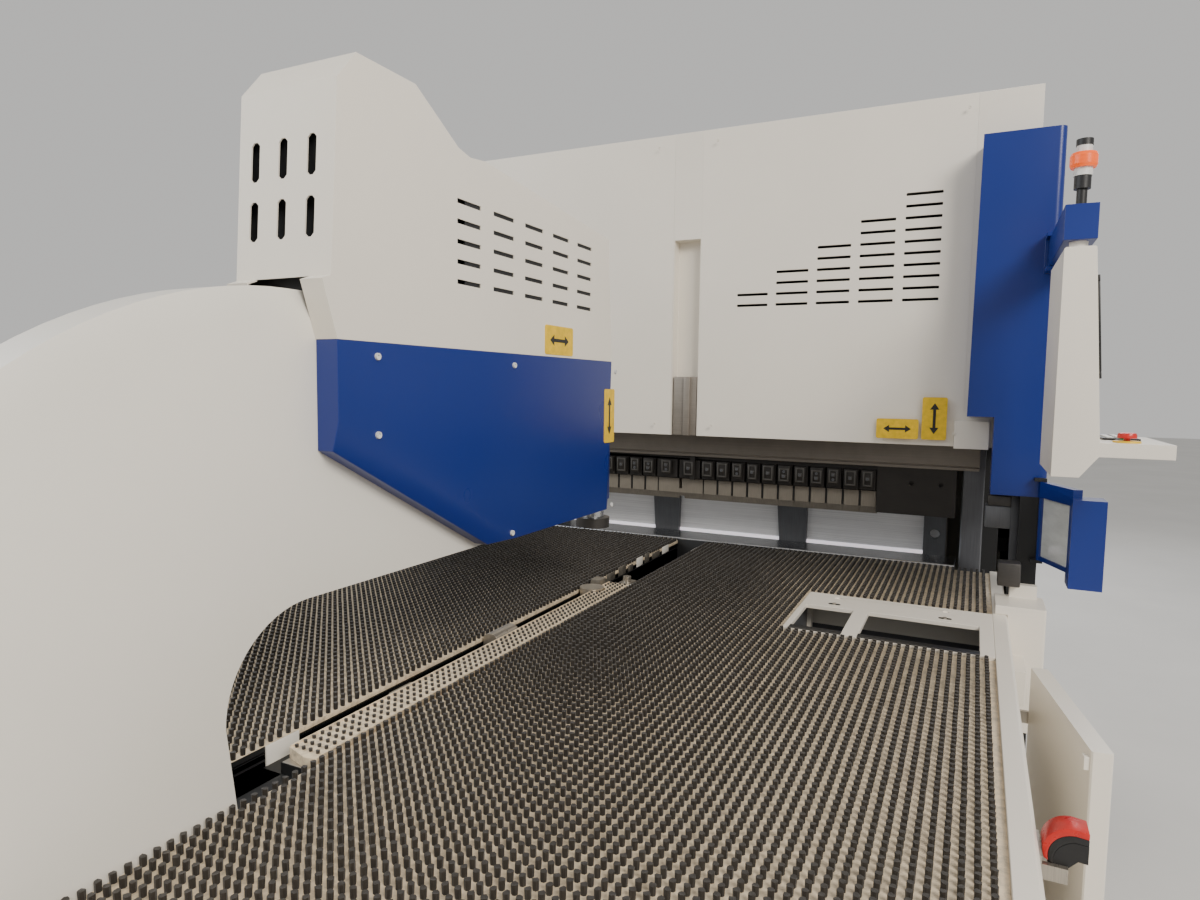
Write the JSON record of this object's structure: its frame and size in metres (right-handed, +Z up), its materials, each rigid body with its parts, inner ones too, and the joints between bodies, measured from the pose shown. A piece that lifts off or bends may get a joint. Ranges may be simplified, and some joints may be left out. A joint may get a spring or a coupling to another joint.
{
  "type": "panel bender",
  "caption": "Panel bender for sheet metal: brush tables beside a slot, a travelling C-frame manipulator with a clamp head, and a hooded bending unit with a swinging control pendant.",
  "frame": {"origin": "on the floor, under the bend line and in the middle of the slot between the two brush beds, at the middle foot of the bending unit", "axes": "+Z up, +Y from the operator's side towards the bending unit along the manipulator's travel, +X to the operator's right"},
  "size_m": [2.697, 4.524, 2.522],
  "materials": {
    "white_paint": "fine satin paint",
    "cream_paint": "fine satin paint",
    "blue_paint": "semi-gloss paint",
    "grey_paint": "satin paint",
    "dark_paint": "satin paint",
    "dark_steel": "blackened steel",
    "ground_steel": "ground steel",
    "polished_steel": "polished steel",
    "aluminium": "satin",
    "bristle": "stiff nylon bristle",
    "black_plastic": "fine texture",
    "white_plastic": "gloss",
    "amber_plastic": "translucent moulded lens",
    "red_plastic": "gloss",
    "green_plastic": "gloss",
    "screen": "dark display glass",
    "pane": "frosted pane"
  },
  "bodies": {
    "base": {"left_cabinet": "white_paint", "right_cabinet": "white_paint", "bed_plates": "grey_paint", "left_brush_field": "bristle", "right_brush_field": "bristle", "table_rims": "white_paint", "pocket_frame": "white_paint", "pocket_drive": "aluminium", "squaring_box": "white_paint", "travel_beam": "dark_paint", "travel_track": "ground_steel", "press_frame": "dark_paint", "side_frames": "dark_paint", "guide_columns": "ground_steel", "press_drives": "black_plastic", "lower_tool": "polished_steel", "hood_fronts": "white_paint", "hood_recess": "white_paint", "hood_shell": "white_paint", "corner_covers": "blue_paint", "corner_post": "dark_paint", "side_brackets": "ground_steel", "levelling_feet": "dark_steel"},
    "press": {"press_beam": "ground_steel", "press_rods": "polished_steel", "tool_clamps": "dark_steel", "centre_tool": "ground_steel"},
    "left_tools": {"left_tool_segments": "ground_steel", "left_end_holder": "dark_steel"},
    "right_tools": {"right_tool_segments": "ground_steel", "right_end_holder": "dark_steel"},
    "carriage": {"blade_carriage": "dark_paint"},
    "blades": {"blade_frame": "polished_steel", "blade_stays": "ground_steel", "bending_blades": "ground_steel"},
    "manipulator": {"c_frame": "cream_paint", "spindle_housing": "dark_steel", "head_lower_cover": "blue_paint", "head_hood": "white_paint", "slot_fittings": "ground_steel", "strip_brushes": "bristle", "travel_carriage": "grey_paint", "travel_drive": "black_plastic"},
    "clamp": {"clamp_spindle": "polished_steel"},
    "upper_turn": {"upper_disc": "dark_steel"},
    "lower_turn": {"lower_disc": "dark_steel"},
    "pendant": {"pendant_arm": "blue_paint", "lamp_body": "black_plastic", "lamp_rings": "white_plastic", "lamp_lens": "amber_plastic"},
    "console": {"console_shell": "white_paint", "console_screen": "screen", "console_controls": "black_plastic"},
    "stop": {"stop_button": "red_plastic"},
    "start": {"start_button": "green_plastic"},
    "door": {"side_door": "white_paint"},
    "gate": {"side_gate": "blue_paint", "gate_pane": "pane"},
    "lever": {"lever_grip": "black_plastic", "lever_cover": "red_plastic"}
  },
  "joints": [
    {"name": "press_stroke", "type": "slide", "parent": "base", "child": "press", "axis": [0, 0, 1], "range_m": [-0.144, 0]},
    {"name": "left_tool_spread", "type": "slide", "parent": "press", "child": "left_tools", "axis": [-1, 0, 0], "range_m": [0, 0.06]},
    {"name": "right_tool_spread", "type": "slide", "parent": "press", "child": "right_tools", "axis": [1, 0, 0], "range_m": [0, 0.06]},
    {"name": "blade_advance", "type": "slide", "parent": "base", "child": "carriage", "axis": [0, -1, 0], "range_m": [-0.03, 0.02]},
    {"name": "blade_lift", "type": "slide", "parent": "carriage", "child": "blades", "axis": [0, 0, 1], "range_m": [-0.18, 0.06]},
    {"name": "manipulator_travel", "type": "slide", "parent": "base", "child": "manipulator", "axis": [0, 1, 0], "range_m": [-0.3, 0.68]},
    {"name": "clamp_stroke", "type": "slide", "parent": "manipulator", "child": "clamp", "axis": [0, 0, 1], "range_m": [-0.19, 0]},
    {"name": "upper_disc_turn", "type": "hinge", "parent": "clamp", "child": "upper_turn", "pos_m": [-0.026, -1.05, 1.1], "axis": [0, 0, 1], "continuous": true},
    {"name": "lower_disc_turn", "type": "hinge", "parent": "manipulator", "child": "lower_turn", "pos_m": [-0.026, -1.05, 0.88], "axis": [0, 0, 1], "continuous": true},
    {"name": "pendant_swing", "type": "hinge", "parent": "base", "child": "pendant", "pos_m": [1.25, -0.446, 1.95], "axis": [0, 0, 1], "range_deg": [0, 90]},
    {"name": "console_swivel", "type": "hinge", "parent": "pendant", "child": "console", "pos_m": [1.25, -0.87, 1.9], "axis": [0, 0, 1], "range_deg": [-60, 90]},
    {"name": "stop_press", "type": "slide", "parent": "console", "child": "stop", "axis": [0, 0, -1], "range_m": [0, 0.006], "stiffness_N_per_m": 600},
    {"name": "start_press", "type": "slide", "parent": "console", "child": "start", "axis": [0, 0, -1], "range_m": [0, 0.004], "stiffness_N_per_m": 400},
    {"name": "door_swing", "type": "hinge", "parent": "base", "child": "door", "pos_m": [1.204, -1.037, 0.5], "axis": [0, 0, 1], "range_deg": [-9, 70]},
    {"name": "gate_swing", "type": "hinge", "parent": "base", "child": "gate", "pos_m": [1.238, -0.42, 1.1], "axis": [0, 0, 1], "range_deg": [-21, 60]},
    {"name": "lever_turn", "type": "hinge", "parent": "base", "child": "lever", "pos_m": [1.17, -1.95, 0.852], "axis": [0, 1, 0], "range_deg": [0, 60]}
  ],
  "couplings": [
    {"joint": "lower_disc_turn", "follows": "upper_disc_turn", "ratio": 1}
  ]
}
